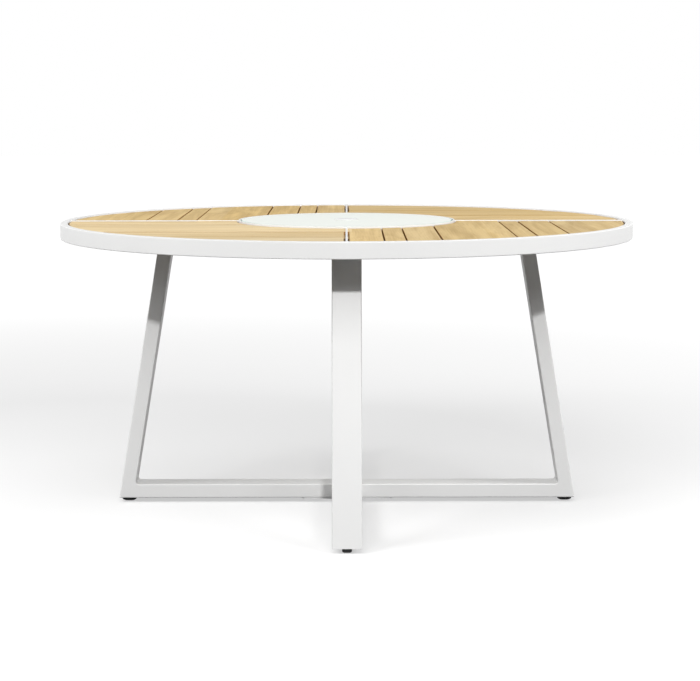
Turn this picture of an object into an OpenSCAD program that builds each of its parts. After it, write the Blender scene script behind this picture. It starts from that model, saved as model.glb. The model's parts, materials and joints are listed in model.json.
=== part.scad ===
// Round outdoor dining table: slatted timber top in a metal rim, a turning glass centre
// and a base of two crossed metal frames. Origin on the floor at the centre, +Z up,
// -Y is the front. All sizes in millimetres.

/* [Table top] */
// Outer diameter of the rim
top_d = 1500; // [1300:10:1600]
// Height of the rim's top above the floor
table_h = 755; // [700:5:790]
// Width of the rim tube seen from above
rim_w = 20; // [16:1:30]
// Height of the rim tube
rim_h = 40; // [34:1:50]
// Wall of the rim tube
rim_wall = 2; // [1.5:0.1:2.1]
// Outer corner radius of the rim tube
rim_round = 2.5; // [2.2:0.1:4]
// Width of the ledge inside the rim that carries the plank ends
ledge_w = 28; // [18:1:40]
// Thickness of the ledges inside the rim and round the centre ring
ledge_t = 3; // [2:0.5:4]

/* [Planks] */
// Thickness of the planks
plank_t = 18; // [15:0.5:20]
// How far the planks lie below the metal around them
plank_drop = 2; // [0.5:0.5:4]
// Width of the eased edges of the planks
plank_edge = 1; // [0.5:0.25:2]
// Gap between planks and round them
plank_gap = 4; // [2:0.5:6]
// Width of the common planks
plank_common_w = 78.5; // [60:0.5:80]
// Width of the narrow planks
plank_narrow_w = 47; // [30:1:50]
// Width of the wide glued planks
plank_wide_w = 176; // [120:1:180]
// Width of the metal strip between two quarters
divider_w = 5; // [3:0.5:8]
// Width of the battens under the planks
batten_w = 40; // [30:1:50]
// Thickness of the battens
batten_t = 4; // [3:0.5:5]
// Shank diameter of the plank screws
plank_screw_d = 4; // [3:0.5:5]
// How far a plank screw reaches into the plank
plank_screw_grip = 14; // [8:1:14]

/* [Cross bars] */
// Width of the cross bars under the top
bar_w = 60; // [50:1:70]
// Height of the cross bars
bar_h = 20; // [18:1:22]
// Wall of the cross bars
bar_wall = 2; // [1.5:0.1:2.5]

/* [Glass centre] */
// Diameter of the glass disc
glass_d = 556; // [480:2:600]
// Thickness of the glass
glass_t = 8; // [6:0.5:10]
// Gap between the glass and the centre ring
glass_gap = 3; // [2:0.5:5]
// How far the glass and its ring stand above the rim
glass_rise = 2; // [0:0.5:4]
// Wall of the centre ring
centre_wall = 5; // [3:0.5:8]
// Width of the centre ring's ledge for the plank ends
centre_ledge_w = 20; // [12:1:30]
// Diameter of the hub cap on the glass
hub_cap_d = 60; // [40:1:80]
// Height of the hub cap
hub_cap_h = 2; // [1.5:0.5:5]
// Outer diameter of the turning bearing
bearing_d = 150; // [140:2:200]
// Diameter of the bearing balls
ball_d = 6; // [5:0.1:6.2]
// Number of bearing balls
ball_count = 24; // [12:1:28]
// Diameter of the hub bolt
hub_bolt_d = 6; // [5:0.5:8]

/* [Base] */
// Width of the leg and rail tube, across the frame
tube_w = 72; // [60:1:80]
// Thickness of the leg and rail tube, in the plane of the frame
tube_t = 37; // [30:1:42]
// Wall of the leg and rail tube
tube_wall = 2.5; // [2:0.1:2.6]
// Outer corner radius of the leg and rail tube
tube_round = 3; // [2.7:0.1:8]
// Radius of the weld in a frame's inner corners
weld_r = 8; // [4:1:12]
// Height of the rails' underside above the floor
rail_z = 13.5; // [12:0.5:20]
// Distance from the centre to a leg's outer bottom corner
leg_foot_r = 610; // [560:5:640]
// Distance from the centre to a leg's outer face at its top
leg_top_r = 493; // [420:5:520]
// Length of the plate on top of each leg
leg_plate_l = 140; // [120:2:170]
// Thickness of the plate on top of each leg
leg_plate_t = 6; // [5:0.5:8]
// Spacing of the two bolts in each leg plate
leg_bolt_gap = 104; // [90:2:110]
// Length of each arm of the plate that joins the rails
join_arm = 120; // [110:2:150]
// Thickness of the plate that joins the rails
join_t = 4; // [3:0.5:4]
// Diameter of the frame bolts
bolt_d = 8; // [6:1:8]

/* [Feet] */
// Length of a foot along its frame
foot_l = 38; // [30:1:44]
// Width of a foot across its frame
foot_w = 24; // [18:1:30]
// Distance of the feet from the leg's outer bottom corner
foot_inset = 24; // [22:1:40]
// Height of a foot's rounded underside
foot_dome_h = 6.5; // [3:0.5:8]
// Share of a foot's length and width that lies flat on the floor
foot_flat = 0.3; // [0.2:0.05:0.5]

/* [Hidden] */
$fn = 64;
far = 2000;
slip = 0.2;
fit_gap = 0.1;
run_gap = 0.08;
hole_gap = 0.4;

rim_r = top_d / 2;
rim_in_r = rim_r - rim_w;
rim_z = table_h - rim_h;
plank_z = table_h - plank_drop - plank_t;
plank_r = rim_in_r - plank_gap;
bar_z = plank_z - bar_h;
ledge_z = plank_z - ledge_t;
centre_in_r = glass_d / 2 + glass_gap;
centre_r = centre_in_r + centre_wall;
centre_ledge_r = centre_r + centre_ledge_w;
bar_end_r = rim_in_r;
bar_round = bar_wall + 1;
weep_d = 5;

// Planks, counted outwards from the divider they run along
plank_start = divider_w / 2 + plank_gap;
plank_widths = [plank_common_w, plank_narrow_w, plank_common_w,
                plank_wide_w, plank_narrow_w, plank_common_w];
plank_count = len(plank_widths) + 1;
function plank_from(i) = i == 0 ? plank_start : plank_to(i - 1) + plank_gap;
function plank_to(i) = i < len(plank_widths) ? plank_from(i) + plank_widths[i] : plank_r;

// Battens of a quarter: distance from the other divider
batten_places = [0.16, 0.45, 0.76];
batten_margin = 5;
function batten_v(j) = batten_places[j] * plank_r;
function chord(r, v) = sqrt(max(0, r * r - v * v));
function batten_from(j) = max(bar_w / 2 + batten_margin,
    chord(centre_ledge_r + batten_margin, max(0, batten_v(j) - batten_w / 2)));
function batten_to(j) = chord(rim_in_r - ledge_w - batten_margin, batten_v(j) + batten_w / 2);

// Screws where a plank crosses a batten: one, or two in a wide crossing
screw_edge = 25;
two_screw_w = 110;
function cross_from(i, j) = max(plank_from(i), batten_from(j));
function cross_to(i, j) = min(plank_to(i), batten_to(j));
function cross_screws(i, j) =
    let (a = cross_from(i, j), b = cross_to(i, j))
    b - a < screw_edge ? [] :
    b - a > two_screw_w ? [[a + screw_edge, batten_v(j)], [b - screw_edge, batten_v(j)]] :
    [[(a + b) / 2, batten_v(j)]];
function screw_places(i) = [for (j = [0:len(batten_places) - 1]) each cross_screws(i, j)];
plank_screw_head_d = 2 * plank_screw_d;
plank_screw_head_h = 0.6 * plank_screw_d;
plank_screw_tip_l = 3;
plank_screw_tip_r = 0.5;

// Turning centre, stacked down from the glass
glass_top_z = table_h + glass_rise;
glass_z = glass_top_z - glass_t;
pad_t = 1.5;
pad_d = 20;
pad_count = 8;
race_top_z = glass_z - pad_t;
race_w = 25;
race_in_r = bearing_d / 2 - race_w;
ball_track_r = (race_in_r + bearing_d / 2) / 2;
ball_z = (plank_z + race_top_z) / 2;
race_gap = 1.2;
groove_r = ball_d / 2 + run_gap;
boss_r = 2 * hub_bolt_d;
boss_gap = 1.5;
boss_z = plank_z + boss_gap;
bolt_hole_r = hub_bolt_d / 2 + fit_gap / 2;
bolt_head_r = 7;
bolt_head_h = 3.2;
bolt_end = 0.5;
bush_wall = 2;
bush_recess_r = bolt_head_r + fit_gap;
bush_r = bush_recess_r + bush_wall;
cap_plug_h = 1.5;
head_z = glass_top_z - cap_plug_h - fit_gap - bolt_head_h;
race_screw_d = 4;
race_screw_head_d = 7;
race_screw_head_h = 2.2;
race_screw_l = 9;
race_screw_edge = 1.4;
race_screw_r = bearing_d / 2 - race_screw_head_d / 2 - race_screw_edge;

// Base frames
lean = atan((leg_foot_r - leg_top_r) / (bar_z - leg_plate_t - rail_z));
mitre = (90 - lean) / 2;
leg_top_z = bar_z - leg_plate_t;
leg_top_mid = leg_top_r - tube_t / cos(lean) / 2;
foot_r = leg_foot_r - foot_inset;
foot_corner = 6;
foot_plug_d = 10;
foot_plug_h = 12;
foot_steps = 5;
head_d = 1.75 * bolt_d;
head_h = 0.5 * bolt_d;
nut_d = 1.875 * bolt_d;
nut_h = 0.8 * bolt_d;
bolt_l = 16;
plate_round = 8;
join_w = tube_w - 2 * tube_round;
join_bolt_edge = 16;
join_bolts = [tube_w / 2 + 1.5 * join_bolt_edge, join_arm - join_bolt_edge];
plate_bolts = [leg_top_mid - leg_bolt_gap / 2, leg_top_mid + leg_bolt_gap / 2];

quarters = ["front_right", "front_left", "back_left", "back_right"];
sides = ["right", "back", "left", "front"];
function plank_name(q, i) = str("plank_", quarters[q], "_", i + 1);
function leg_name(s) = str("leg_", sides[s]);
function foot_name(s) = str("foot_", sides[s]);

// Shared shapes

module round_rect(w, h, r) {
    square([w - 2 * r, h], center = true);
    square([w, h - 2 * r], center = true);
    for (x = [-1, 1], y = [-1, 1])
        translate([x * (w / 2 - r), y * (h / 2 - r)]) circle(r = r);
}

module tube_section(w, h, wall, r) {
    difference() {
        round_rect(w, h, r);
        round_rect(w - 2 * wall, h - 2 * wall, r - wall);
    }
}

// A tube along +X from x0 to x1, its underside at z
module tube_x(x0, x1, z, w, h, wall, r) {
    translate([x0, 0, z + h / 2]) rotate([90, 0, 90])
        linear_extrude(height = x1 - x0) tube_section(w, h, wall, r);
}

module disc(r, z0, z1) {
    translate([0, 0, z0]) cylinder(r = r, h = z1 - z0, $fn = 180);
}

module pipe(r0, r1, z0, z1) {
    difference() {
        disc(r1, z0, z1);
        disc(r0, z0 - 1, z1 + 1);
    }
}

// The space that the cross bars need in whatever they run through
module bar_slots(z0, z1) {
    for (a = [0, 90]) rotate([0, 0, a])
        translate([-far / 2, -bar_w / 2 - slip, z0]) cube([far, bar_w + 2 * slip, z1 - z0]);
}

module around(count) {
    for (s = [0:count - 1]) rotate([0, 0, s * 360 / count]) children();
}

// Table top

module rim_ring() {
    color("white") difference() {
        rotate_extrude($fn = 180) translate([rim_r - rim_w / 2, rim_z + rim_h / 2])
            tube_section(rim_w, rim_h, rim_wall, rim_round);
        rotate([0, 0, 45]) around(4) translate([rim_r - rim_w / 2, 0, rim_z - 1])
            cylinder(d = weep_d, h = rim_wall + 2);
    }
}

module rim_ledge() {
    color("white") difference() {
        pipe(rim_in_r - ledge_w, rim_in_r, ledge_z, plank_z);
        bar_slots(ledge_z - 1, plank_z + 1);
    }
}

module centre_ring() {
    color("white") difference() {
        union() {
            pipe(centre_in_r, centre_r, ledge_z, glass_top_z);
            pipe(centre_r - 1, centre_ledge_r, ledge_z, plank_z);
        }
        bar_slots(ledge_z - 1, plank_z);
    }
}

// Holes in a bar's bottom wall for one leg, on the +X arm
module leg_bolt_holes() {
    for (x = plate_bolts) translate([x, 0, bar_z - 1])
        cylinder(d = bolt_d + hole_gap, h = bar_wall + 2);
}

module race_screw_hole() {
    translate([race_screw_r, 0, plank_z - bar_wall - 1])
        cylinder(d = race_screw_d + fit_gap, h = bar_wall + 2);
}

module bar_half_cuts() {
    leg_bolt_holes();
    race_screw_hole();
}

module cross_bar_long() {
    color("white") difference() {
        intersection() {
            tube_x(-rim_r, rim_r, bar_z, bar_w, bar_h, bar_wall, bar_round);
            disc(bar_end_r, bar_z - 1, plank_z + 1);
        }
        around(2) bar_half_cuts();
    }
}

module cross_bar_half() {
    color("white") difference() {
        intersection() {
            tube_x(bar_w / 2, rim_r, bar_z, bar_w, bar_h, bar_wall, bar_round);
            disc(bar_end_r, bar_z - 1, plank_z + 1);
        }
        bar_half_cuts();
    }
}

module cross_bar_front() rotate([0, 0, -90]) cross_bar_half();
module cross_bar_back() rotate([0, 0, 90]) cross_bar_half();

module divider_strips() {
    color("white") around(4) difference() {
        intersection() {
            translate([centre_in_r, -divider_w / 2, plank_z])
                cube([rim_r - centre_in_r, divider_w, table_h - plank_z]);
            disc(rim_in_r, plank_z - 1, table_h + 1);
        }
        disc(centre_r, plank_z - 1, table_h + 1);
    }
}

// A plank's outline from x0 to x1 with eased edges, seen along it
module plank_outline(x0, x1) {
    e = plank_edge;
    translate([0, plank_z]) polygon([
        [x0 + e, 0], [x1 - e, 0], [x1, e], [x1, plank_t - e], [x1 - e, plank_t],
        [x0 + e, plank_t], [x0, plank_t - e], [x0, e]]);
}

// The round cut of the planks' inner ends, with eased edges
module plank_centre_cut() {
    r = centre_r + plank_gap;
    e = plank_edge;
    translate([0, 0, plank_z]) rotate_extrude($fn = 180) polygon([
        [0, -e], [r + 2 * e, -e], [r, e], [r, plank_t - e], [r + 2 * e, plank_t + e],
        [0, plank_t + e]]);
}

// One plank of the front right quarter, which runs front to back
module plank(i) {
    spare = 2 * plank_edge;
    side_x = i < plank_count - 1 ? plank_to(i) : plank_r + spare;
    color("burlywood") difference() {
        intersection() {
            rotate([90, 0, 0]) linear_extrude(height = plank_r + spare)
                plank_outline(plank_from(i), side_x);
            rotate([90, 0, 90]) linear_extrude(height = plank_r + spare)
                plank_outline(-plank_r - spare, -plank_start);
            rotate_extrude($fn = 180) intersection() {
                plank_outline(-plank_r, plank_r);
                square([far, far]);
            }
        }
        plank_centre_cut();
        for (p = screw_places(i)) translate([p[0], -p[1], plank_z - 1])
            cylinder(d = plank_screw_d + fit_gap, h = plank_screw_grip + 1 + fit_gap);
    }
}

module batten(j) {
    translate([batten_from(j), -batten_v(j) - batten_w / 2, plank_z - batten_t])
        cube([batten_to(j) - batten_from(j), batten_w, batten_t]);
}

module plank_battens() {
    color("silver") around(4) difference() {
        for (j = [0:len(batten_places) - 1]) batten(j);
        for (i = [0:plank_count - 1]) for (p = screw_places(i))
            translate([p[0], -p[1], plank_z - batten_t - 1])
                cylinder(d = plank_screw_d + hole_gap, h = batten_t + 2);
    }
}

// A button head below z = 0, as the first points of a screw's outline
function button_head(d, h) = [[0, -h], [d / 4, -h], [d / 2, -h / 3], [d / 2, 0]];

module plank_screw() {
    tip_z = batten_t + plank_screw_grip;
    rotate_extrude() polygon(concat(button_head(plank_screw_head_d, plank_screw_head_h), [
        [plank_screw_d / 2, 0], [plank_screw_d / 2, tip_z - plank_screw_tip_l],
        [plank_screw_tip_r, tip_z], [0, tip_z]]));
}

module plank_screws() {
    color("silver") around(4) for (i = [0:plank_count - 1]) for (p = screw_places(i))
        translate([p[0], -p[1], plank_z - batten_t]) plank_screw();
}

// Glass centre

module glass_disc() {
    edge = 0.8;
    r = glass_d / 2;
    color("honeydew") rotate_extrude($fn = 180) polygon([
        [bush_r + fit_gap / 2, glass_z], [r - edge, glass_z], [r, glass_z + edge],
        [r, glass_top_z - edge], [r - edge, glass_top_z],
        [bush_r + fit_gap / 2, glass_top_z]]);
}

module glass_pads() {
    color("dimgray") around(pad_count) translate([ball_track_r, 0, race_top_z])
        cylinder(d = pad_d, h = pad_t);
}

// The bush round the hub bolt, with a recess for the bolt's head and the cap's plug
module glass_bush() {
    color("dimgray") difference() {
        pipe(bolt_hole_r, bush_r, race_top_z, glass_top_z);
        disc(bush_recess_r, head_z, glass_top_z + 1);
    }
}

module hub_cap() {
    r = hub_cap_d / 2;
    edge = 1;
    color("white") translate([0, 0, glass_top_z]) rotate_extrude($fn = 96) {
        square([r, hub_cap_h - edge]);
        square([r - edge, hub_cap_h]);
        translate([r - edge, hub_cap_h - edge]) circle(r = edge);
        translate([0, -cap_plug_h]) square([bush_recess_r - fit_gap / 2, cap_plug_h + edge]);
    }
}

module hub_bolt() {
    head_edge = 0.8;
    tip = boss_z - head_z;
    color("silver") translate([0, 0, head_z]) rotate_extrude() polygon([
        [0, bolt_head_h], [bolt_head_r - head_edge, bolt_head_h],
        [bolt_head_r, bolt_head_h - head_edge], [bolt_head_r, 0],
        [hub_bolt_d / 2, 0], [hub_bolt_d / 2, tip + 2 * bolt_end],
        [hub_bolt_d / 2 - bolt_end, tip + bolt_end], [0, tip + bolt_end]]);
}

module ball_groove() {
    rotate_extrude($fn = 96) translate([ball_track_r, ball_z]) circle(r = groove_r);
}

module bearing_upper_race() {
    color("gainsboro") difference() {
        union() {
            disc(bearing_d / 2, ball_z + race_gap / 2, race_top_z);
            disc(boss_r, boss_z, race_top_z);
        }
        disc(bolt_hole_r, boss_z - 1, race_top_z + 1);
        ball_groove();
    }
}

module bearing_lower_race() {
    race_top = ball_z - race_gap / 2;
    color("gainsboro") difference() {
        pipe(race_in_r, bearing_d / 2, plank_z, race_top);
        ball_groove();
        around(4) translate([race_screw_r, 0, plank_z - 1]) {
            cylinder(d = race_screw_d + fit_gap, h = ball_z);
            translate([0, 0, race_top - plank_z + 1 - race_screw_head_h])
                cylinder(d1 = race_screw_d + fit_gap, d2 = race_screw_head_d + fit_gap,
                         h = race_screw_head_h + 0.01);
        }
    }
}

module bearing_balls() {
    color("silver") around(ball_count) translate([ball_track_r, 0, ball_z])
        sphere(d = ball_d);
}

module race_screws() {
    race_top = ball_z - race_gap / 2;
    color("silver") around(4) translate([race_screw_r, 0, race_top - fit_gap])
        rotate_extrude() polygon([
            [0, 0], [race_screw_head_d / 2 - fit_gap / 2, 0],
            [race_screw_d / 2, -race_screw_head_h], [race_screw_d / 2, -race_screw_l],
            [0, -race_screw_l]]);
}

// Base: each piece is drawn on the +X side and turned to its place

module mitre_half_space(side) {
    translate([leg_foot_r, 0, rail_z]) rotate([0, mitre, 0])
        translate([-far / 2, -far / 2, side > 0 ? 0 : -far]) cube(far);
}

module leg() {
    length = (leg_top_z - rail_z) / cos(lean) + tube_t;
    color("white") difference() {
        translate([leg_foot_r, 0, rail_z]) rotate([0, -lean, 0])
            translate([-tube_t / 2, 0, -tube_t]) linear_extrude(height = length + tube_t)
                tube_section(tube_t, tube_w, tube_wall, tube_round);
        mitre_half_space(-1);
        translate([-far / 2, -far / 2, leg_top_z]) cube(far);
    }
}

// The weld in the inner corner between rail and leg, a hollow fillet across the flat of the tube
module corner_weld() {
    run = weld_r / tan(mitre);
    reach = weld_r / sin(mitre);
    translate([leg_foot_r - tube_t / tan(mitre), 0, rail_z + tube_t]) rotate([90, 0, 0])
        linear_extrude(height = tube_w - 2 * tube_round, center = true) difference() {
            polygon([[0, 0], [-run, 0], [-run * cos(2 * mitre), run * sin(2 * mitre)]]);
            translate([-reach * cos(mitre), reach * sin(mitre)]) circle(r = weld_r);
        }
}

module foot_hole() {
    translate([foot_r, 0, rail_z - 1]) cylinder(d = foot_plug_d + 2 * fit_gap, h = tube_wall + 2);
}

module join_holes() {
    for (x = join_bolts) translate([x, 0, rail_z - join_t - 1])
        cylinder(d = bolt_d + hole_gap, h = join_t + tube_wall + 2);
}

module rail_end_cuts() {
    mitre_half_space(1);
    foot_hole();
    join_holes();
}

module rail_long() {
    color("white") {
        difference() {
            tube_x(-far / 2, far / 2, rail_z, tube_w, tube_t, tube_wall, tube_round);
            around(2) rail_end_cuts();
        }
        around(2) corner_weld();
    }
}

module rail_half() {
    color("white") {
        difference() {
            tube_x(tube_w / 2, far / 2, rail_z, tube_w, tube_t, tube_wall, tube_round);
            rail_end_cuts();
        }
        corner_weld();
    }
}

module rail_front() rotate([0, 0, -90]) rail_half();
module rail_back() rotate([0, 0, 90]) rail_half();

module leg_plates() {
    color("white") around(4) difference() {
        translate([leg_top_mid, 0, leg_top_z]) linear_extrude(height = leg_plate_t)
            round_rect(leg_plate_l, bar_w, plate_round);
        for (x = plate_bolts) translate([x, 0, leg_top_z - 1])
            cylinder(d = bolt_d + hole_gap, h = leg_plate_t + 2);
    }
}

module joining_plate() {
    color("white") difference() {
        translate([0, 0, rail_z - join_t]) linear_extrude(height = join_t) {
            round_rect(2 * join_arm, join_w, plate_round);
            round_rect(join_w, 2 * join_arm, plate_round);
        }
        around(4) join_holes();
    }
}

// A button-head bolt pointing up from z = 0, with its nut on the far side of the stack
module frame_bolt(stack) {
    rotate_extrude() polygon(concat(button_head(head_d, head_h), [
        [bolt_d / 2, 0], [bolt_d / 2, bolt_l], [0, bolt_l]]));
    translate([0, 0, stack]) difference() {
        cylinder(d = nut_d, h = nut_h, $fn = 6);
        translate([0, 0, -1]) cylinder(d = bolt_d + fit_gap, h = nut_h + 2);
    }
}

module frame_bolts() {
    color("silver") around(4) {
        for (x = plate_bolts) translate([x, 0, leg_top_z]) frame_bolt(leg_plate_t + bar_wall);
        for (x = join_bolts) translate([x, 0, rail_z - join_t]) frame_bolt(join_t + tube_wall);
    }
}

// A foot: oblong pad with a rounded underside and a plug that fits the rail
module foot() {
    translate([foot_r, 0, 0]) color("black") {
        intersection() {
            linear_extrude(height = rail_z) round_rect(foot_l, foot_w, foot_corner);
            rotate([90, 0, 0]) linear_extrude(height = foot_w + 2, center = true)
                foot_outline(foot_l);
            rotate([90, 0, 90]) linear_extrude(height = foot_l + 2, center = true)
                foot_outline(foot_w);
        }
        translate([0, 0, rail_z - 0.5]) cylinder(d = foot_plug_d, h = foot_plug_h + 0.5);
    }
}

// A foot's outline from the side: an arc, in short flats, down to the flat middle
module foot_outline(l) {
    flat = foot_flat * l / 2;
    arc_z = (l * l / 4 + foot_dome_h * foot_dome_h - flat * flat) / (2 * foot_dome_h);
    arc_r = norm([flat, arc_z]);
    xs = [for (k = [0:foot_steps]) flat + (l / 2 - flat) * k / foot_steps];
    arc = [for (x = xs) [x, arc_z - sqrt(arc_r * arc_r - x * x)]];
    polygon(concat(arc, [[l / 2, rail_z], [-l / 2, rail_z]],
        [for (k = [foot_steps:-1:0]) [-arc[k][0], arc[k][1]]]));
}

rim_ring();
rim_ledge();
centre_ring();
cross_bar_long();
cross_bar_front();
cross_bar_back();
divider_strips();
plank_battens();
plank_screws();
for (q = [0:3], i = [0:plank_count - 1])
    rotate([0, 0, -90 * q]) plank(i);
glass_disc();
glass_pads();
glass_bush();
hub_cap();
hub_bolt();
bearing_upper_race();
bearing_lower_race();
bearing_balls();
race_screws();
for (s = [0:3]) rotate([0, 0, 90 * s]) leg();
rail_long();
rail_front();
rail_back();
leg_plates();
joining_plate();
frame_bolts();
for (s = [0:3]) rotate([0, 0, 90 * s]) foot();
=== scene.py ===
"""Looks of a round outdoor dining table: teak planks in a powder-coated rim, a turning glass
centre and a base of two crossed U-shaped frames. Metres; -Y is the front, +Z up."""
from contextlib import contextmanager
import json
import math
import random

import bmesh
import bpy
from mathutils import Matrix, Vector


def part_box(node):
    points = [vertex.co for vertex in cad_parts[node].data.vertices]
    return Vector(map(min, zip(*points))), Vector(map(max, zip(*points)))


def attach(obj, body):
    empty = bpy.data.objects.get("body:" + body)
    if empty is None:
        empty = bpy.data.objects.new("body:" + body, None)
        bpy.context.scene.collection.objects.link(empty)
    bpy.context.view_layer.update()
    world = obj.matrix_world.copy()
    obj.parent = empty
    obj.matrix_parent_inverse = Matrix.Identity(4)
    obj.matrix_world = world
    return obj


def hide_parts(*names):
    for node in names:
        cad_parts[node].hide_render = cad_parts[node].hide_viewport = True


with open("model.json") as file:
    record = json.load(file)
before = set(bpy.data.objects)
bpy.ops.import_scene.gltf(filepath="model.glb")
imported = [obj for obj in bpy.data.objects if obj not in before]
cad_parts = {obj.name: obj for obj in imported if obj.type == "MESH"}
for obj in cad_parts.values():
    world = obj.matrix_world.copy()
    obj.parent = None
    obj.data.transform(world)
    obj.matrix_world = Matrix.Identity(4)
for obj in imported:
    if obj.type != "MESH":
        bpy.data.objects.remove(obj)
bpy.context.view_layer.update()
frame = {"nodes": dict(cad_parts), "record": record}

# Sizes
MM = 0.001
SIDES = ("right", "back", "left", "front")
QUARTERS = ("front_right", "front_left", "back_left", "back_right")
QUARTER_TURN = math.pi / 2

rim_low, rim_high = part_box("rim_ring")
RIM_R = rim_high.x
TABLE_TOP = rim_high.z
RIM_W = 20 * MM
RIM_ROUND = 2.5 * MM
WEEP_HOLE_R = 2.5 * MM
DIVIDER_W = 5 * MM
DIVIDER_EASE = 0.7 * MM
# How far the strips reach into the rim and the centre ring
DIVIDER_SEAT = 0.5 * MM

PLANKS = 7
PLANK_GAP = 4 * MM
PLANK_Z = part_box("plank_front_right_1")[0].z
PLANK_R = RIM_R - RIM_W - PLANK_GAP
PLANK_EASE = 0.7 * MM
# Distance from the divider to the glue lines of the two wide planks
GLUE_LINES = {4: 337 * MM, 7: 600 * MM}
# How low the tops of some planks lie, as boards never come out quite even
LOW_BOARDS = {1: 0.1 * MM, 3: 0.35 * MM, 5: 0.8 * MM, 6: 0.5 * MM, 7: 0.6 * MM}
# How pale the boards of each quarter are, from golden (0) to pale (1); the front left's paleness
# is a painted sheen
PALENESS = {"front_right": 0.34, "front_left": 0.95, "back_left": 0.2, "back_right": 0.33}
# How light they are painted next to their divider and at the rim: painted light and shade for how
# the light falls on each quarter
LIGHTNESS = {"front_right": (0.98, 0.84), "front_left": (1.05, 0.96),
             "back_left": (1.02, 1.02), "back_right": (0.96, 0.96)}

# The ring round the glass, with the gap between it and the planks
CENTRE_IN_R = 281 * MM
CENTRE_R = 286 * MM
CENTRE_ROUND = 0.9 * MM
PLANK_INNER_R = CENTRE_R + PLANK_GAP
GLASS_ROUND = 1.2 * MM

BAR_ROUND = 3 * MM
BATTEN_EASE = 0.5 * MM
PLATE_ROUND = 8 * MM

TUBE_W = 72 * MM
TUBE_T = 37 * MM
TUBE_ROUND = 3 * MM
WELD_R = 8 * MM
LEG_FOOT_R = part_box("leg_right")[1].x
LEG_TOP_R = 493 * MM
LEG_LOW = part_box("leg_right")[0].z
LEG_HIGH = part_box("leg_right")[1].z
RAIL_TOP = LEG_LOW + TUBE_T
LEAN = math.atan((LEG_FOOT_R - LEG_TOP_R) / (LEG_HIGH - LEG_LOW))
MITRE = (math.pi / 2 - LEAN) / 2

FOOT_CORNER = 6 * MM
# How far the underside of a foot rises from the floor to its rim, and the share of its
# length and width that lies flat
FOOT_DOME = 6.5 * MM
FOOT_FLAT = 0.3

RING_STEPS = 240
# Within this distance a point counts as lying on a plane
SMALL = 0.05 * MM
# How far a tool reaches past what it cuts
OVERRUN = 1 * MM
# Below this angle two faces count as one
FLAT_ANGLE = math.radians(0.5)

# The metal right under the planks is painted dark brown as the shade deep in the gaps: half the
# height of that band, and its reach
SHADE_BAND_HALF = 0.3 * MM
SHADE_BAND_REACH = RIM_R - RIM_W + 0.5 * MM
# The metal walls beside the planks get painted brown shade, warm with painted light reflected from
# the wood, outside this distance from the axis, from this depth on and over this height
GAP_START = CENTRE_R - 1 * MM
GAP_SHADE_DEPTH = 2.6 * MM
GAP_SHADE = 3 * MM
# The height above which the coat is the hub cap's, and how far that reaches
GLASS_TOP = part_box("glass_disc")[1].z + 0.1 * MM
CAP_REACH = 40 * MM

# Colours
COAT_WHITE = (0.80, 0.80, 0.795)
# Painted shade on the metal walls of the plank gaps, warm with painted light reflected from the
# wood
GAP_WALL_SHADE = (0.42, 0.25, 0.10)
# Painted shade deep under the planks
UNDER_PLANK_SHADE = (0.36, 0.21, 0.08)
GOLDEN_TEAK = (0.74, 0.515, 0.185)
GOLDEN_FIGURE = (0.47, 0.295, 0.085)
# Pale teak: partly the wood's own tone, and on the front left quarter a painted sheen
PALE_TEAK = (0.87, 0.70, 0.425)
PALE_FIGURE = (0.64, 0.46, 0.215)
# The sides of the planks: darker wood, with painted shade of the narrow gaps
SHADED_PLANK_SIDE = (0.37, 0.18, 0.045)
GLASS_WHITE = (0.81, 0.865, 0.785)
GLASS_EDGE = (0.34, 0.58, 0.46)
ALUMINIUM = (0.72, 0.72, 0.73)
STEEL = (0.66, 0.66, 0.67)
MILKY = (0.56, 0.58, 0.56)
OFF_WHITE = (0.70, 0.70, 0.67)
BLACK = (0.010, 0.010, 0.011)
SCUFFED_BLACK = (0.030, 0.030, 0.031)

# Floor, sky and camera
FLOOR_SIZE = 60
FLOOR_GREY = (0.35, 0.35, 0.35)
# The floor's tone as it lights the table
FLOOR_DIM = (0.05, 0.05, 0.05)
# The floor glows towards the camera: least round this point and up to this distance, a painted
# soft shadow of the table, and beyond it more, by this share of what is missing to white for each
# metre
PAINTED_SHADOW_MIDDLE = (-0.63, 0.4, 0.0)
PAINTED_SHADOW_REACH = 1.34
GLOW_LEAST = 0.54
GLOW_RISE = 0.27
# The strength of the sky as light
SKY_LIGHT = 0.16
TABLE_AIM = (0, 0, 0.75)
FLOOR_AIM = (0, 0.3, 0)
# The camera that was fitted to the photo
SENSOR_MM = 36.0
LENS_MM = 95.42
EYE = (0.0001, -4.914, 1.0754)
EYE_TURN = (math.pi / 2 - 0.1299, 0.0012, -0.0019)


# Modelling helpers
def only(piece):
    """Selects the piece and nothing else."""
    bpy.ops.object.select_all(action="DESELECT")
    piece.select_set(True)
    bpy.context.view_layer.objects.active = piece


@contextmanager
def editing(piece):
    """Edit mode on one piece, with all of it selected."""
    only(piece)
    bpy.ops.object.mode_set(mode="EDIT")
    bpy.ops.mesh.select_all(action="SELECT")
    yield
    bpy.ops.object.mode_set(mode="OBJECT")


def pick(kind, test):
    """Selects the vertices, edges or faces of the edited mesh that pass the test."""
    bpy.ops.mesh.select_mode(type=kind)
    bpy.ops.mesh.select_all(action="DESELECT")
    mesh = bpy.context.object.data
    grid = bmesh.from_edit_mesh(mesh)
    parts = {"VERT": grid.verts, "EDGE": grid.edges, "FACE": grid.faces}[kind]
    for part in parts:
        if test(part):
            part.select_set(True)
    bmesh.update_edit_mesh(mesh)


def middle(edge):
    return (edge.verts[0].co + edge.verts[1].co) / 2


def runs_along(edge, axis):
    return abs((edge.verts[0].co - edge.verts[1].co).normalized()[axis]) > 0.99


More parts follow.
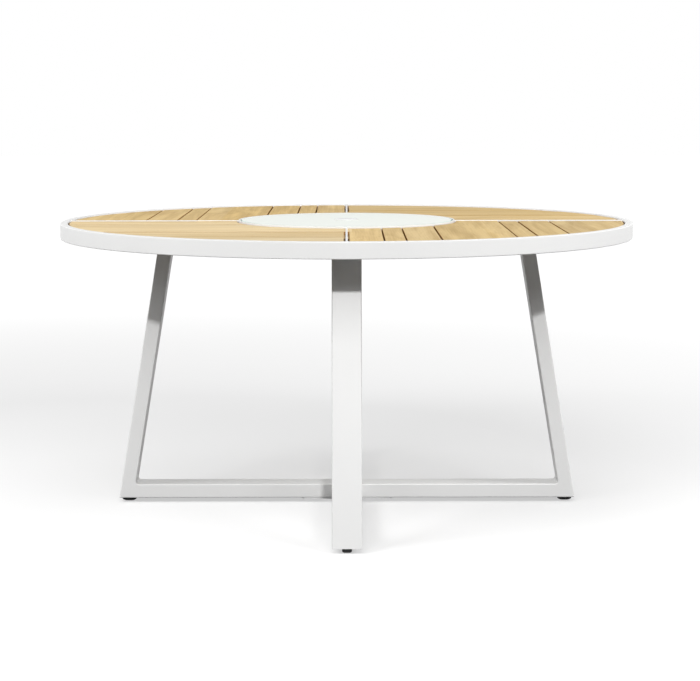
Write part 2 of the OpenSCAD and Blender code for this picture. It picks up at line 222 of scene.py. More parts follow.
def round_edges(test, radius, segments):
    """Rounds the edges of the edited mesh that pass the test."""
    pick("EDGE", test)
    bpy.ops.mesh.bevel(offset=radius, segments=segments, affect="EDGES")


def named(name):
    """Names the piece that an operator has just made."""
    piece = bpy.context.object
    piece.name = piece.data.name = name
    return piece


def settled(piece):
    """Applies the piece's place, turn and size to its mesh."""
    only(piece)
    bpy.ops.object.transform_apply(location=True, rotation=True, scale=True)
    return piece


def block(name, low, high):
    """A plain block between two corners, to be shaped further."""
    low, high = Vector(low), Vector(high)
    bpy.ops.object.select_all(action="DESELECT")
    bpy.ops.mesh.primitive_cube_add(size=1, location=(low + high) / 2)
    piece = named(name)
    piece.scale = high - low
    return settled(piece)


def rod(name, radius, low, high, sides=48, at=(0, 0)):
    """A plain upright rod between two heights, to be shaped further."""
    bpy.ops.object.select_all(action="DESELECT")
    bpy.ops.mesh.primitive_cylinder_add(vertices=sides, radius=radius, depth=high - low,
                                        location=(at[0], at[1], (low + high) / 2))
    return settled(named(name))


def apply(piece, kind, **settings):
    """Puts a modifier on the piece and applies it."""
    only(piece)
    modifier = piece.modifiers.new(kind.lower(), kind)
    for key, value in settings.items():
        setattr(modifier, key, value)
    bpy.ops.object.modifier_apply(modifier=modifier.name)


def cut(piece, tool, operation="DIFFERENCE"):
    """Cuts the piece with a tool, or joins it to the tool, and uses the tool up."""
    apply(piece, "BOOLEAN", object=tool, operation=operation, solver="EXACT")
    drop(tool)
    return piece


def drop(*spares):
    """Removes pieces that have done their work."""
    for spare in spares:
        bpy.data.objects.remove(spare)


def copy_of(piece, name, turn=0.0, shift=(0, 0, 0)):
    """A copy with its own mesh, turned round the table's axis and shifted."""
    twin = piece.copy()
    twin.data = piece.data.copy()
    twin.name = twin.data.name = name
    bpy.context.scene.collection.objects.link(twin)
    twin.rotation_euler = (0, 0, turn)
    twin.location = shift
    return settled(twin)


def joined(name, pieces):
    """One object from several, their solids still separate."""
    bpy.ops.object.select_all(action="DESELECT")
    for piece in pieces:
        piece.select_set(True)
    bpy.context.view_layer.objects.active = pieces[0]
    bpy.ops.object.join()
    return named(name)


def ease(piece, width, segments=2, angle=30):
    """Breaks the sharp edges and shades the piece smooth between them."""
    if width:
        apply(piece, "BEVEL", width=width, segments=segments, limit_method="ANGLE",
              angle_limit=math.radians(angle))
    only(piece)
    bpy.ops.object.shade_smooth_by_angle(angle=math.radians(angle))
    apply(piece, "WEIGHTED_NORMAL", keep_sharp=True)
    return piece


def ring(name, inner, outer, low, high, corner, rounded=lambda v: True, shape=None,
         steps=RING_STEPS):
    """A ring turned round the table's axis from a rectangle with rounded corners."""
    bpy.ops.object.select_all(action="DESELECT")
    bpy.ops.mesh.primitive_plane_add(size=1, rotation=(math.pi / 2, 0, 0),
                                     location=((inner + outer) / 2, 0, (low + high) / 2))
    piece = named(name)
    piece.scale = (outer - inner, high - low, 1)
    settled(piece)
    with editing(piece):
        if shape:
            shape()
        pick("VERT", rounded)
        bpy.ops.mesh.bevel(offset=corner, segments=4, affect="VERTICES")
        bpy.ops.mesh.select_all(action="SELECT")
        bpy.ops.mesh.delete(type="ONLY_FACE")
        bpy.ops.mesh.select_all(action="SELECT")
        bpy.ops.mesh.spin(steps=steps, angle=2 * math.pi, center=(0, 0, 0), axis=(0, 0, 1))
        bpy.ops.mesh.select_all(action="SELECT")
        bpy.ops.mesh.remove_doubles(threshold=SMALL / 10)
        bpy.ops.mesh.normals_make_consistent(inside=False)
    return piece


def solids_of(node):
    """The box of each separate solid in a CAD node, as (low, high) corners."""
    grid = bmesh.new()
    grid.from_mesh(frame["nodes"][node].data)
    bmesh.ops.remove_doubles(grid, verts=grid.verts, dist=SMALL / 50)
    left = set(grid.verts)
    boxes = []
    while left:
        solid, waiting = set(), [left.pop()]
        while waiting:
            vert = waiting.pop()
            solid.add(vert.co.copy().freeze())
            for edge in vert.link_edges:
                other = edge.other_vert(vert)
                if other in left:
                    left.remove(other)
                    waiting.append(other)
        boxes.append((Vector(min(c[i] for c in solid) for i in range(3)),
                      Vector(max(c[i] for c in solid) for i in range(3))))
    grid.free()
    return sorted(boxes, key=lambda box: tuple(round(v, 4) for v in (*box[0], *box[1])))


def middle_of(box, height=0):
    """The middle of a box as seen from above, at a height."""
    low, high = box
    return ((low.x + high.x) / 2, (low.y + high.y) / 2, height)


# Shader helpers
class Wire:
    """An output of a node; arithmetic on it adds Math nodes."""

    def __init__(self, nodes, socket):
        self.nodes, self.socket = nodes, socket

    def math(self, operation, *values):
        return self.nodes.node("Math", {"operation": operation}, dict(enumerate(values)))

    def __add__(self, other):
        return self.math("ADD", self, other)

    def __sub__(self, other):
        return self.math("SUBTRACT", self, other)

    def __rsub__(self, other):
        return self.math("SUBTRACT", other, self)

    def __mul__(self, other):
        return self.math("MULTIPLY", self, other)

    def __truediv__(self, other):
        return self.math("DIVIDE", self, other)

    def __pow__(self, other):
        return self.math("POWER", self, other)

    def __gt__(self, other):
        return self.math("GREATER_THAN", self, other)

    def __lt__(self, other):
        return self.math("LESS_THAN", self, other)

    __radd__, __rmul__ = __add__, __mul__

    def sin(self):
        return self.math("SINE", self)

    def held(self):
        """Kept between 0 and 1."""
        return self.math("MINIMUM", self.math("MAXIMUM", self, 0.0), 1.0)


class Nodes:
    """The nodes of a material or of the sky."""

    def __init__(self, owner):
        owner.use_nodes = True
        self.tree = owner.node_tree

    def put(self, value, socket):
        """Links a wire to the socket, or sets its value."""
        if isinstance(value, Wire):
            self.tree.links.new(value.socket, socket)
        elif isinstance(value, tuple) and len(value) == 3 and socket.type == "RGBA":
            socket.default_value = (*value, 1.0)
        else:
            socket.default_value = value

    def node(self, kind, settings=None, sockets=None, output=0):
        """Adds a node: its type, its settings and what goes into its sockets."""
        made = self.tree.nodes.new("ShaderNode" + kind)
        for key, value in (settings or {}).items():
            setattr(made, key, value)
        for key, value in (sockets or {}).items():
            self.put(value, made.inputs[key])
        return Wire(self, made.outputs[output])

    def place(self):
        return self.node("TexCoord", output="Object")

    def attribute(self, name, output="Fac"):
        return self.node("Attribute", {"attribute_name": name}, output=output)

    def part_of(self, vector, axis):
        return self.node("SeparateXYZ", None, {0: vector}, output=axis)

    def stretched(self, vector, by):
        return self.node("VectorMath", {"operation": "MULTIPLY"}, {0: vector, 1: by})

    def height_and_reach(self, place):
        """How high a point lies, and how far it is from the table's axis."""
        flat = self.stretched(place, (1.0, 1.0, 0.0))
        reach = self.node("VectorMath", {"operation": "LENGTH"}, {0: flat}, output="Value")
        return self.part_of(place, 2), reach

    def noise(self, vector, scale, detail, roughness=0.5, distortion=0.0):
        return self.node("TexNoise", None, {
            "Vector": vector, "Scale": scale, "Detail": detail, "Roughness": roughness,
            "Distortion": distortion}, output="Fac")

    def mix(self, factor, one, other):
        """Colour one where the factor is 0, the other where it is 1."""
        return self.node("Mix", {"data_type": "RGBA"}, {0: factor, 6: one, 7: other}, output=2)

    def shade(self, colour, amount):
        """The colour made lighter or darker by a factor that varies."""
        return self.node("VectorMath", {"operation": "SCALE"}, {0: colour, "Scale": amount})

    def seen(self):
        """1 to the camera, straight or by way of a gloss or glass, and 0 as light."""
        straight, gloss, through = (self.node("LightPath", output=f"Is {ray} Ray")
                                    for ray in ("Camera", "Glossy", "Transmission"))
        return (straight + gloss + through).held()


class Finish(Nodes):
    """A material with its Principled shader, and the constant values of that set."""

    def __init__(self, name, **constants):
        self.material = bpy.data.materials.new(name)
        super().__init__(self.material)
        self.set(**constants)

    def set(self, **values):
        """Constants and links of the Principled shader, spaces in names as underscores."""
        shader = self.tree.nodes["Principled BSDF"]
        for key, value in values.items():
            self.put(value, shader.inputs[key.replace("_", " ")])

    def bump(self, height, distance, strength):
        self.set(Normal=self.node("Bump", None, {
            "Height": height, "Distance": distance, "Strength": strength}, output="Normal"))


# Materials
def powder_coat():
    """Satin white powder coat with a fine orange peel. Under and beside the planks it is painted
    brown as the shade of the gaps, and on the hub cap it is painted a little darker as shade, and
    is glossier."""
    coat = Finish("powder_coat", IOR=1.5)
    place = coat.place()
    cloud = coat.noise(place, scale=9.0, detail=3.0)
    peel = (coat.noise(place, scale=950.0, detail=2.0, roughness=0.6) * 0.7
            + coat.noise(place, scale=260.0, detail=1.0) * 0.3)
    tone = cloud * 0.05 + peel * 0.03 + 0.96
    height, reach = coat.height_and_reach(place)
    inside_rim = (height > PLANK_Z - SHADE_BAND_HALF) * (reach < SHADE_BAND_REACH)
    # Painted shade: the metal right under the planks, deep in the gaps
    shade_under_planks = inside_rim * (height < PLANK_Z + SHADE_BAND_HALF)
    # The gap walls beside the planks get painted brown shade, warm with painted light from the
    # wood
    deep = ((TABLE_TOP - GAP_SHADE_DEPTH - height) / GAP_SHADE).held()
    beside_planks = inside_rim * (reach > GAP_START) * deep
    on_cap = (height > GLASS_TOP) * (reach < CAP_REACH)
    # The hub cap's coat is painted a little darker: shade that tones down the light its edge
    # catches
    white = coat.shade(COAT_WHITE, tone * (1.0 - on_cap * 0.1))
    walls = coat.mix(beside_planks * 0.8, white, GAP_WALL_SHADE)
    coat.set(Base_Color=coat.mix(shade_under_planks * 0.97, walls, UNDER_PLANK_SHADE),
             Roughness=(cloud * 0.08 + peel * 0.06 + 0.33 - on_cap * 0.12
                        + beside_planks * 0.6))
    coat.bump(peel, distance=0.03 * MM, strength=0.6)
    return coat.material


def teak():
    """Sanded light teak: figure, growth lines and pores run along each plank, and the sides
    of the gaps are darker wood with painted shade."""
    wood = Finish("teak", IOR=1.45, Specular_IOR_Level=0.35)
    grain = wood.attribute("grain", "Vector")
    seed = wood.attribute("seed")
    shift = wood.node("CombineXYZ", None, {0: seed * 3.1, 1: seed * 1.7, 2: seed * 0.9})
    place = wood.node("VectorMath", {"operation": "ADD"}, {0: grain, 1: shift})

    def drawn_out(along, across, **settings):
        """Noise with so many cells in a metre along and across the plank."""
        return wood.noise(wood.stretched(place, (along, across, across)), 1.0, **settings)

    drift = drawn_out(1.6, 7.0, detail=2.0)
    figure = drawn_out(2.2, 17.0, detail=3.0, roughness=0.55, distortion=1.2)
    bands = drawn_out(1.3, 46.0, detail=4.0, roughness=0.6, distortion=0.5)
    streaks = drawn_out(9.0, 720.0, detail=3.0, roughness=0.6)
    pores = ((drawn_out(75.0, 2400.0, detail=1.0) - 0.62) * 9.0).held()
    rings = ((wood.part_of(place, 1) * 900.0 + drift * 42.0).sin() * 0.5 + 0.5) ** 1.6
    depth = (figure * 2.1 + bands * 1.6 + rings * 0.12 + streaks * 0.45 - 1.72).held()
    golden = wood.mix(depth, GOLDEN_TEAK, GOLDEN_FIGURE)
    pale_wood = wood.mix(depth, PALE_TEAK, PALE_FIGURE)
    # Pale wood: its own tone, and on the front left quarter a painted sheen
    colour = wood.mix(wood.attribute("pale"), golden, pale_wood)
    # The tone holds each strip's painted light and shade as well as its own tone
    colour = wood.shade(colour, wood.attribute("tone") * (1.0 - pores * 0.18))
    below_top = wood.part_of(grain, 2) * -1.0
    # The sides of the planks in the gaps: darker wood with painted shade, fading towards the
    # underside
    side = ((below_top - 0.05 * MM) / (0.30 * MM)).held()
    side = side * ((14 * MM - below_top) / (6 * MM)).held()
    wood.set(Base_Color=wood.mix(side * 0.9, colour, SHADED_PLANK_SIDE),
             Roughness=0.56 + streaks * 0.12 + pores * 0.08 + side * 0.38)
    wood.bump(streaks * 0.5 + 0.5 * rings - pores, distance=0.06 * MM, strength=0.5)
    return wood.material


def white_glass():
    """Toughened glass painted white behind: a clean gloss, green at the polished edge."""
    low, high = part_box("glass_disc")
    glass = Finish("white_glass", IOR=1.52)
    place = glass.place()
    height, reach = glass.height_and_reach(place)
    above_paint = ((height - (low.z + 0.4 * MM)) / (0.25 * MM)).held()
    edge = ((reach - (high.x - 1.0 * MM)) / (0.4 * MM)).held() * above_paint
    speck = glass.noise(place, scale=60.0, detail=2.0)
    glass.set(Base_Color=glass.mix(edge, GLASS_WHITE, GLASS_EDGE),
              Roughness=0.45 - above_paint * 0.23 + speck * 0.02)
    return glass.material


def bare_aluminium():
    """Mill-finished flat bar with faint drawing lines."""
    metal = Finish("bare_aluminium", Metallic=1.0)
    place = metal.place()
    lines = metal.noise(metal.stretched(place, (60.0, 60.0, 1500.0)), scale=6.0, detail=2.0)
    cloud = metal.noise(place, scale=14.0, detail=3.0)
    metal.set(Base_Color=metal.shade(ALUMINIUM, cloud * 0.16 + 0.90),
              Roughness=lines * 0.18 + cloud * 0.10 + 0.28)
    metal.bump(lines, distance=0.02 * MM, strength=0.5)
    return metal.material


def stainless():
    """Bright stainless fasteners with a fine turned grain."""
    steel = Finish("stainless", Metallic=1.0)
    grit = steel.noise(steel.place(), scale=1800.0, detail=2.0)
    steel.set(Base_Color=steel.shade(STEEL, grit * 0.12 + 0.92),
              Roughness=grit * 0.16 + 0.20)
    steel.bump(grit, distance=0.01 * MM, strength=0.4)
    return steel.material


def clear_rubber():
    """Soft milky pads."""
    pad = Finish("clear_rubber", IOR=1.45)
    cloud = pad.noise(pad.place(), scale=420.0, detail=2.0)
    pad.set(Base_Color=pad.shade(MILKY, cloud * 0.14 + 0.93), Roughness=cloud * 0.15 + 0.42)
    return pad.material


def nylon():
    """Matt off-white bush."""
    bush = Finish("nylon", IOR=1.5)
    cloud = bush.noise(bush.place(), scale=500.0, detail=2.0)
    bush.set(Base_Color=bush.shade(OFF_WHITE, cloud * 0.1 + 0.95), Roughness=cloud * 0.1 + 0.5)
    return bush.material


def black_plastic():
    """Moulded black feet with a fine spark texture."""
    foot = Finish("black_plastic", IOR=1.5, Specular_IOR_Level=0.15)
    place = foot.place()
    spark = foot.noise(place, scale=1500.0, detail=2.0, roughness=0.7)
    scuff = foot.noise(place, scale=90.0, detail=4.0, roughness=0.65)
    foot.set(Base_Color=foot.mix(scuff, BLACK, SCUFFED_BLACK),
             Roughness=spark * 0.15 + scuff * 0.15 + 0.38)
    foot.bump(spark, distance=0.03 * MM, strength=0.7)
    return foot.material


MATERIALS = {make.__name__: make() for make in (
    powder_coat, teak, white_glass, bare_aluminium, stainless, clear_rubber, nylon,
    black_plastic)}


def dress(piece, body, slot, *nodes):
    """Gives the piece its material and its body, and hides the nodes it stands for."""
    piece.data.materials.clear()
    piece.data.materials.append(MATERIALS[slot])
    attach(piece, body)
    if nodes:
        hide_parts(*nodes)


# Table top
def rim():
    """The rim tube, with four weep holes in its underside."""
    piece = ring("rim", RIM_R - RIM_W, RIM_R, rim_low.z, TABLE_TOP, RIM_ROUND)
    reach, hole_top = RIM_R - RIM_W / 2, rim_low.z + 6 * MM
    for turn in range(4):
        angle = math.radians(45 + 90 * turn)
        cut(piece, rod("weep_hole", WEEP_HOLE_R, rim_low.z - OVERRUN, hole_top, 24,
                       (reach * math.cos(angle), reach * math.sin(angle))))
    dress(ease(piece, 0, angle=40), "table", "powder_coat", "rim_ring")


def centre_ring():
    """The thin ring round the glass, one piece with the ledge for the plank ends, and
    notched for the cross bars."""
    low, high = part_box("centre_ring")

    def raise_wall():
        bpy.ops.mesh.bisect(plane_co=(CENTRE_R, 0, 0), plane_no=(1, 0, 0))
        pick("EDGE", lambda e: runs_along(e, 0) and middle(e).x < CENTRE_R
             and middle(e).z > PLANK_Z - SMALL)
        bpy.ops.mesh.extrude_region_move(
            TRANSFORM_OT_translate={"value": (0, 0, high.z - PLANK_Z)})
        # One face, as edges inside the outline would be spun into hidden walls
        bpy.ops.mesh.select_all(action="SELECT")
        bpy.ops.mesh.normals_make_consistent(inside=False)
        bpy.ops.mesh.dissolve_limited(angle_limit=FLAT_ANGLE)

    piece = ring("centre_ring_wall", CENTRE_IN_R, high.x, low.z, PLANK_Z, CENTRE_ROUND,
                 lambda v: v.co.z > high.z - SMALL or v.co.x > high.x - SMALL, raise_wall)
    bar_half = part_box("cross_bar_front")[1].x + 0.2 * MM
    past_ring = 500 * MM
    for x, y in ((past_ring, bar_half), (bar_half, past_ring)):
        cut(piece, block("bar_notch", (-x, -y, low.z - OVERRUN), (x, y, PLANK_Z - 0.02 * MM)))
    dress(ease(piece, 0, angle=40), "table", "powder_coat", "centre_ring")


def dividers():
    """The four flat strips between the quarters, on edge."""
    half = DIVIDER_W / 2
    first = block("strip", (CENTRE_R - DIVIDER_SEAT, -half, PLANK_Z),
                  (RIM_R - RIM_W + DIVIDER_SEAT, half, TABLE_TOP))
    ease(first, DIVIDER_EASE, 3)
    strips = [first] + [copy_of(first, "strip", QUARTER_TURN * turn) for turn in (1, 2, 3)]
    dress(joined("strips", strips), "table", "powder_coat", "divider_strips")


def mark_grain(piece, number, marks):
    """Stores along, across and up from the top of the plank for each point, as it lies at
    the front right, and the seed, tone and paleness of the strip of each face."""
    mesh = piece.data
    top = max(vert.co.z for vert in mesh.vertices)
    grain = mesh.attributes.new("grain", "FLOAT_VECTOR", "POINT")
    for vert in mesh.vertices:
        grain.data[vert.index].vector = (vert.co.y, vert.co.x, vert.co.z - top)
    outer = [face.center.x > GLUE_LINES.get(number, RIM_R) for face in mesh.polygons]
    for name, values in marks.items():
        layer = mesh.attributes.new(name, "FLOAT", "FACE")
        layer.data.foreach_set("value", [values[strip] for strip in outer])


def shaped_plank(number):
    """A plank of the front right quarter, with its round ends and eased edges."""
    low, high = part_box(f"plank_front_right_{number}")
    high.z -= LOW_BOARDS.get(number, 0)
    spare = 20 * MM
    bottom, top = low.z - OVERRUN, high.z + OVERRUN
    side = PLANK_R + spare if number == PLANKS else high.x
    meets_centre = low.x < PLANK_INNER_R
    near = high.y + spare if meets_centre else high.y
    piece = block("plank", (low.x, -PLANK_R - spare, low.z), (side, near, high.z))
    cut(piece, rod("outer_end", PLANK_R, bottom, top, RING_STEPS), "INTERSECT")
    if meets_centre:
        cut(piece, rod("inner_end", PLANK_INNER_R, bottom, top, RING_STEPS))
    ease(piece, PLANK_EASE, 3)
    if number in GLUE_LINES:
        with editing(piece):
            bpy.ops.mesh.bisect(plane_co=(GLUE_LINES[number], 0, 0), plane_no=(1, 0, 0))
    return piece


def lightness(quarter, number, strip):
    """How light a strip of a plank is painted, with the painted light and shade of its quarter
    from divider to rim.
    """
    near, far = LIGHTNESS[quarter]
    return near + (far - near) * (number - 1 + strip / 2) / (PLANKS - 0.5)


def planks():
    """The planks of the four quarters, each turned from one at the front right and with a
    grain of its own."""
    draw = random.Random(11)
    for number in range(1, PLANKS + 1):
        first = shaped_plank(number)
        for turn, quarter in enumerate(QUARTERS):
            piece = copy_of(first, f"board_{quarter}_{number}")
            mark_grain(piece, number, {
                "seed": [draw.uniform(0, 40) for strip in range(2)],
                # Each strip's tone: its own random tone times the painted light and shade of its
                # place
                "tone": [draw.uniform(0.96, 1.04) * lightness(quarter, number, strip)
                         for strip in range(2)],
                "pale": [PALENESS[quarter] + draw.uniform(-0.10, 0.10)
                         for strip in range(2)]})
            piece.rotation_euler.z = -QUARTER_TURN * turn
            dress(settled(piece), "table", "teak", f"plank_{quarter}_{number}")
        drop(first)


def cross_bars():
    """The tubes under the planks, from rim to rim and, across them, in two halves."""
    for side, axis in (("long", 0), ("front", 1), ("back", 1)):
        bar = block("bar_" + side, *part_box("cross_bar_" + side))
        with editing(bar):
            round_edges(lambda e: runs_along(e, axis), BAR_ROUND, 4)
        dress(ease(bar, 0, angle=25), "table", "powder_coat", "cross_bar_" + side)


def battens():
    """The flat bars that hold each quarter's planks together from below."""
    bars = [ease(block("flat_bar", *box), BATTEN_EASE) for box in solids_of("plank_battens")]
    dress(joined("flat_bars", bars), "table", "bare_aluminium", "plank_battens")


def cross_recess(depth, width, length):
    """A cross-shaped tool that cuts a screwdriver recess below height 0."""
    across, along = width / 2, length / 2
    tool = block("recess", (-along, -across, -depth), (along, across, OVERRUN))
    # The arm ends a little higher, as faces in one plane can upset the union
    return cut(tool, block("recess_arm", (-across, -along, -depth),
                           (across, along, 1.01 * OVERRUN)), "UNION")


def plank_screws():
    """Pan-head screws through the battens, each driven to its own angle."""
    solids = solids_of("plank_screws")
    low, high = solids[0]
    shank_r, head_h, head_round = 2 * MM, 2.4 * MM, 1.3 * MM
    under = low.z + head_h
    head = rod("screw", (high.x - low.x) / 2, low.z, under, 20)
    with editing(head):
        round_edges(lambda e: middle(e).z < low.z + SMALL, head_round, 2)
    recess = cross_recess(depth=1.4 * MM, width=0.9 * MM, length=3.6 * MM)
    recess.rotation_euler.x = math.pi
    recess.location.z = low.z
    cut(head, settled(recess))
    shank = rod("shank", shank_r, under - SMALL, high.z, 8)
    screw = ease(joined("screw", [head, shank]), 0, angle=35)
    draw = random.Random(5)
    screws = [copy_of(screw, "screw", draw.uniform(0, math.pi / 2), middle_of(box))
              for box in solids]
    drop(screw)
    dress(joined("batten_screws", screws), "table", "stainless", "plank_screws")


# Glass centre
def glass():
    """The glass disc with its polished edge."""
    low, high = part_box("glass_disc")
    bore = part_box("glass_bush")[1].x + SMALL
    piece = ring("glass_plate", bore, high.x, low.z, high.z, GLASS_ROUND,
                 lambda v: v.co.x > bore + SMALL)
    dress(ease(piece, 0, angle=25), "turntable", "white_glass", "glass_disc")


def cap():
    """The low round cap over the hub bolt, with the plug that holds it in the bush."""
    low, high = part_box("hub_cap")
    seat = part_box("glass_disc")[1].z
    plug_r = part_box("hub_bolt")[1].x + SMALL
    piece = ring("cap", 0, high.x, seat, high.z, GLASS_ROUND,
                 lambda v: v.co.x > SMALL and v.co.z > high.z - SMALL, steps=96)
    cut(piece, rod("plug", plug_r, low.z, seat + OVERRUN), "UNION")
    dress(ease(piece, 0, angle=40), "turntable", "powder_coat", "hub_cap")


# Base
def whole_frame():
    """A U-shaped frame along X in one outline: the rail and its two leaning legs, with
    welded inner corners and rounded tube edges."""
    half = TUBE_W / 2
    inner = LEG_FOOT_R - TUBE_T / math.tan(MITRE)
    rise = LEG_HIGH - RAIL_TOP
    piece = block("frame", (-LEG_FOOT_R, -half, LEG_LOW), (LEG_FOOT_R, half, RAIL_TOP))
    with editing(piece):
        for side in (-1, 1):
            bpy.ops.mesh.select_all(action="SELECT")
            bpy.ops.mesh.bisect(plane_co=(side * inner, 0, 0), plane_no=(1, 0, 0))
        for side in (-1, 1):
            pick("VERT", lambda v: side * v.co.x > LEG_FOOT_R - SMALL
                 and v.co.z > RAIL_TOP - SMALL)
            bpy.ops.transform.translate(value=(-side * TUBE_T * math.tan(LEAN), 0, 0))
            pick("FACE", lambda f: f.normal.z > 0.9 and f.calc_center_median().z < RAIL_TOP + SMALL
                 and side * f.calc_center_median().x > inner)
            bpy.ops.mesh.extrude_region_move(TRANSFORM_OT_translate={
                "value": (-side * rise * math.tan(LEAN), 0, rise)})
        bpy.ops.mesh.select_all(action="SELECT")
        bpy.ops.mesh.dissolve_limited(angle_limit=FLAT_ANGLE)
        round_edges(lambda e: runs_along(e, 1) and abs(abs(middle(e).x) - inner) < SMALL
                    and abs(middle(e).z - RAIL_TOP) < SMALL, WELD_R / math.tan(MITRE), 8)
        round_edges(lambda e: abs(middle(e).y) > half - SMALL
                    and middle(e).z < LEG_HIGH - SMALL, TUBE_ROUND, 5)
    return piece


def mitred(piece, side, keep_leg):
    """Cuts a frame at its mitre and keeps the leg or the rail."""
    with editing(piece):
        bpy.ops.mesh.bisect(
            plane_co=(side * LEG_FOOT_R, 0, LEG_LOW), use_fill=True,
            plane_no=(side * math.sin(MITRE), 0, math.cos(MITRE)),
            clear_inner=keep_leg, clear_outer=not keep_leg)
    return piece


def base():
    """The four legs, the long rail and the two half rails across it."""
    frame_along_x = whole_frame()
    leg = ease(mitred(copy_of(frame_along_x, "leg"), 1, True), 0, angle=25)
    rail = mitred(mitred(copy_of(frame_along_x, "rail"), 1, False), -1, False)
    half_rail = copy_of(rail, "half_rail")
    with editing(half_rail):
        bpy.ops.mesh.bisect(plane_co=(TUBE_W / 2, 0, 0), plane_no=(1, 0, 0),
                            use_fill=True, clear_inner=True)
    ease(rail, 0, angle=25)
    ease(half_rail, 0, angle=25)
    for turn, side in enumerate(SIDES):
        dress(copy_of(leg, "tube_" + side, QUARTER_TURN * turn), "table", "powder_coat",
              "leg_" + side)
    for part, side, turn in ((rail, "long", 0), (half_rail, "front", -1), (half_rail, "back", 1)):
        dress(copy_of(part, "bottom_" + side, QUARTER_TURN * turn), "table", "powder_coat",
              "rail_" + side)
    drop(frame_along_x, leg, rail, half_rail)


def leg_plates():
    """The plates on the legs' tops, bolted under the cross bars."""
    plate = block("plate", *max(solids_of("leg_plates"), key=lambda box: box[0].x))
    with editing(plate):
        round_edges(lambda e: runs_along(e, 2), PLATE_ROUND, 8)
    ease(plate, 0.8 * MM, 2)
    plates = [copy_of(plate, "plate", QUARTER_TURN * turn) for turn in range(4)]
    drop(plate)
    dress(joined("plates", plates), "table", "powder_coat", "leg_plates")


def cross_plate():
    """The cross-shaped plate under the rails where the two frames meet."""
    low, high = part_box("joining_plate")
    half_w = TUBE_W / 2 - TUBE_ROUND
    plate = block("cross_plate", (low.x, -half_w, low.z), (high.x, half_w, high.z))
    cut(plate, block("arm", (-half_w, low.y, low.z), (half_w, high.y, high.z)), "UNION")
    with editing(plate):
        bpy.ops.mesh.dissolve_limited(angle_limit=FLAT_ANGLE)
        round_edges(lambda e: runs_along(e, 2)
                    and max(abs(middle(e).x), abs(middle(e).y)) > high.x - SMALL,
                    PLATE_ROUND, 8)
    dress(ease(plate, 0.6 * MM, 2), "table", "powder_coat", "joining_plate")


def frame_bolts():
    """Button-head bolts with a hexagon socket, and their nuts inside the tubes."""
    solids = solids_of("frame_bolts")
    # Every nut is lower than this, and every bolt is longer
    nut_space = 10 * MM
    bolts = [(low, high) for low, high in solids if high.z - low.z > nut_space]
    nuts = [box for box in solids if box not in bolts]
    low, high = bolts[0]
    head_r, head_h, head_round = (high.x - low.x) / 2, 4 * MM, 2.4 * MM
    socket_r, socket_depth, shank_r = 2.9 * MM, 2.4 * MM, 4 * MM
    bolt = rod("bolt", head_r, 0, head_h, 36)
    with editing(bolt):
        round_edges(lambda e: middle(e).z < SMALL, head_round, 5)
    cut(bolt, rod("socket", socket_r, -OVERRUN, socket_depth, 6))
    shank = rod("shank", shank_r, head_h - SMALL, high.z - low.z, 24)
    bolt = ease(joined("bolt", [bolt, shank]), 0, angle=35)
    low, high = nuts[0]
    nut = rod("nut", (high.x - low.x) / 2, 0, high.z - low.z, 6)
    cut(nut, rod("thread", shank_r + 0.1 * MM, -OVERRUN, nut_space, 24))
    ease(nut, 0.4 * MM, 2)
    draw = random.Random(8)
    made = [copy_of(piece, piece.name, draw.uniform(0, math.pi / 3),
                    middle_of(box, box[0].z))
            for piece, boxes in ((bolt, bolts), (nut, nuts)) for box in boxes]
    drop(bolt, nut)
    dress(joined("bolts", made), "table", "stainless", "frame_bolts")


def feet():
    """Oblong pads with a rounded underside that is flat in the middle."""
    low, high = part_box("foot_right")
    middle_x, half_x, half_y = (low.x + high.x) / 2, (high.x - low.x) / 2, high.y
    foot = block("pad", (low.x, low.y, 0), (high.x, high.y, LEG_LOW))
    with editing(foot):
        round_edges(lambda e: runs_along(e, 2), FOOT_CORNER, 6)
    for half, turn in ((half_x, (math.pi / 2, 0, 0)), (half_y, (0, math.pi / 2, 0))):
        flat = FOOT_FLAT * half
        arc_z = (half ** 2 + FOOT_DOME ** 2 - flat ** 2) / (2 * FOOT_DOME)
        arc = rod("arc", math.hypot(flat, arc_z), -30 * MM, 30 * MM, 180)
        arc.rotation_euler = turn
        arc.location = (middle_x, 0, arc_z)
        cut(foot, settled(arc), "INTERSECT")
    ease(foot, 0, angle=35)
    for turn, side in enumerate(SIDES):
        dress(copy_of(foot, "pad_" + side, QUARTER_TURN * turn), "table", "black_plastic",
              "foot_" + side)
    drop(foot)


def kept_nodes():
    """Gives the CAD nodes that stay in sight their materials."""
    for row in frame["record"]["subparts"]:
        node = frame["nodes"][row["node"]]
        if not node.hide_render:
            node.data.materials.clear()
            node.data.materials.append(MATERIALS[row["material_slot"]])


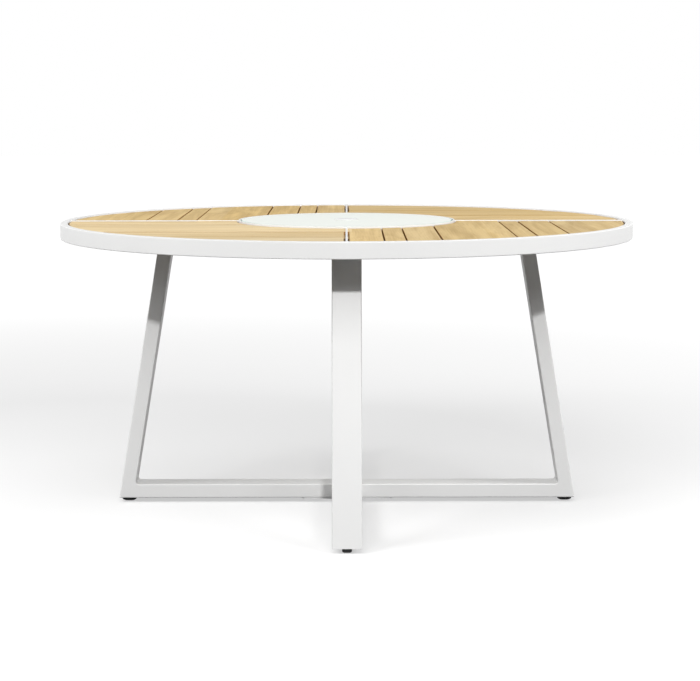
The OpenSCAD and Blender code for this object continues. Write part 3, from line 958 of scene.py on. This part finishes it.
# Stage
def floor():
    """A floor that shows the table's shadow, cast by the lamps and partly painted as a dimmer glow
    round the table, glows white round it towards the camera, gives the table little light, and
    can't be seen from below."""
    bpy.ops.object.select_all(action="DESELECT")
    bpy.ops.mesh.primitive_plane_add(size=FLOOR_SIZE)
    plane = named("floor")
    material = bpy.data.materials.new("floor")
    stone = Nodes(material)
    seen = stone.seen()
    matt = stone.node("BsdfDiffuse", None, {"Color": stone.mix(seen, FLOOR_DIM, FLOOR_GREY)})
    reach = stone.node("VectorMath", {"operation": "DISTANCE"},
                       {0: stone.place(), 1: PAINTED_SHADOW_MIDDLE}, output="Value")
    # The glow is least near the table and rises further out: a painted soft shadow of the table
    far = ((reach - PAINTED_SHADOW_REACH) * GLOW_RISE).held()
    glow = stone.node("Emission", None, {
        "Color": (1.0, 1.0, 1.0), "Strength": seen * (GLOW_LEAST + far * (1 - GLOW_LEAST))})
    lit = stone.node("AddShader", None, {0: matt, 1: glow})
    clear = stone.node("BsdfTransparent")
    under = stone.node("NewGeometry", output="Backfacing")
    surface = stone.node("MixShader", None, {0: under * seen, 1: lit, 2: clear})
    stone.put(surface, stone.tree.nodes["Material Output"].inputs["Surface"])
    plane.data.materials.append(material)
    return plane


def backdrop():
    """White to the camera and in reflections, dimmer as light."""
    world = bpy.data.worlds.new("studio")
    bpy.context.scene.world = world
    sky = Nodes(world)
    background = sky.tree.nodes["Background"]
    sky.put((1.0, 1.0, 1.0), background.inputs["Color"])
    sky.put(sky.seen() * (1 - SKY_LIGHT) + SKY_LIGHT, background.inputs["Strength"])


def lamp(name, kind, watts, place, aim, **settings):
    """A lamp that points from its place at its aim."""
    light = bpy.data.lights.new(name, kind)
    light.energy = watts
    for key, value in settings.items():
        setattr(light, key, value)
    stand = bpy.data.objects.new(name, light)
    bpy.context.scene.collection.objects.link(stand)
    stand.location = place
    turn = (Vector(aim) - Vector(place)).to_track_quat("-Z", "Y")
    stand.rotation_euler = turn.to_euler()
    return stand


def soft_box(name, watts, place, aim, width, depth):
    """A flat lamp of a given size."""
    return lamp(name, "AREA", watts, place, aim, shape="RECTANGLE", size=width, size_y=depth)


def lamps(ground):
    """A small key lamp high behind the camera and a soft box in front and at each side for
    the table, and four soft boxes for the floor."""
    key = lamp("key", "POINT", 1540, (0.42, -8.5, 3.91), (0, 0, 0), shadow_soft_size=0.13)
    left = soft_box("side_left", 53, (-3.1, -0.3, 1.9), TABLE_AIM, 1.0, 0.7)
    right = soft_box("side_right", 68, (3.1, -0.3, 2.4), TABLE_AIM, 1.0, 0.7)
    left.visible_glossy = right.visible_glossy = False
    fill = soft_box("front_fill", 150, (0.2, -5.6, 3.8), (0, 0, 0.6), 4.5, 3.0)
    ratio = 0.77
    washes = [soft_box("floor_" + side, watts, place, FLOOR_AIM, width, ratio * width)
              for side, watts, place, width in (
                  ("front", 146, (-0.3, -3.4, 3.3), 2.8),
                  ("left", 121, (-2.4, -2.2, 2.4), 1.6),
                  ("right", 69, (2.4, -2.2, 2.4), 1.6),
                  ("back", 39, (0.5, 1.2, 3.2), 2.0))]
    for light in (key, left, right, fill, *washes):
        group = bpy.data.collections.new(light.name + "_on")
        light.light_linking.receiver_collection = group
        group.objects.link(ground)
        group.collection_objects[0].light_linking.link_state = (
            "INCLUDE" if light in washes else "EXCLUDE")


def camera():
    """The camera, where the photo's stood."""
    lens = bpy.data.cameras.new("camera")
    lens.sensor_fit = "HORIZONTAL"
    lens.sensor_width = SENSOR_MM
    lens.lens = LENS_MM
    lens.clip_end = 100
    eye = bpy.data.objects.new("camera", lens)
    bpy.context.scene.collection.objects.link(eye)
    eye.location = EYE
    eye.rotation_euler = EYE_TURN
    bpy.context.scene.camera = eye


rim()
centre_ring()
dividers()
planks()
cross_bars()
battens()
plank_screws()
glass()
cap()
base()
leg_plates()
cross_plate()
frame_bolts()
feet()
kept_nodes()

backdrop()
lamps(floor())
camera()
bpy.context.scene.view_settings.view_transform = "Standard"
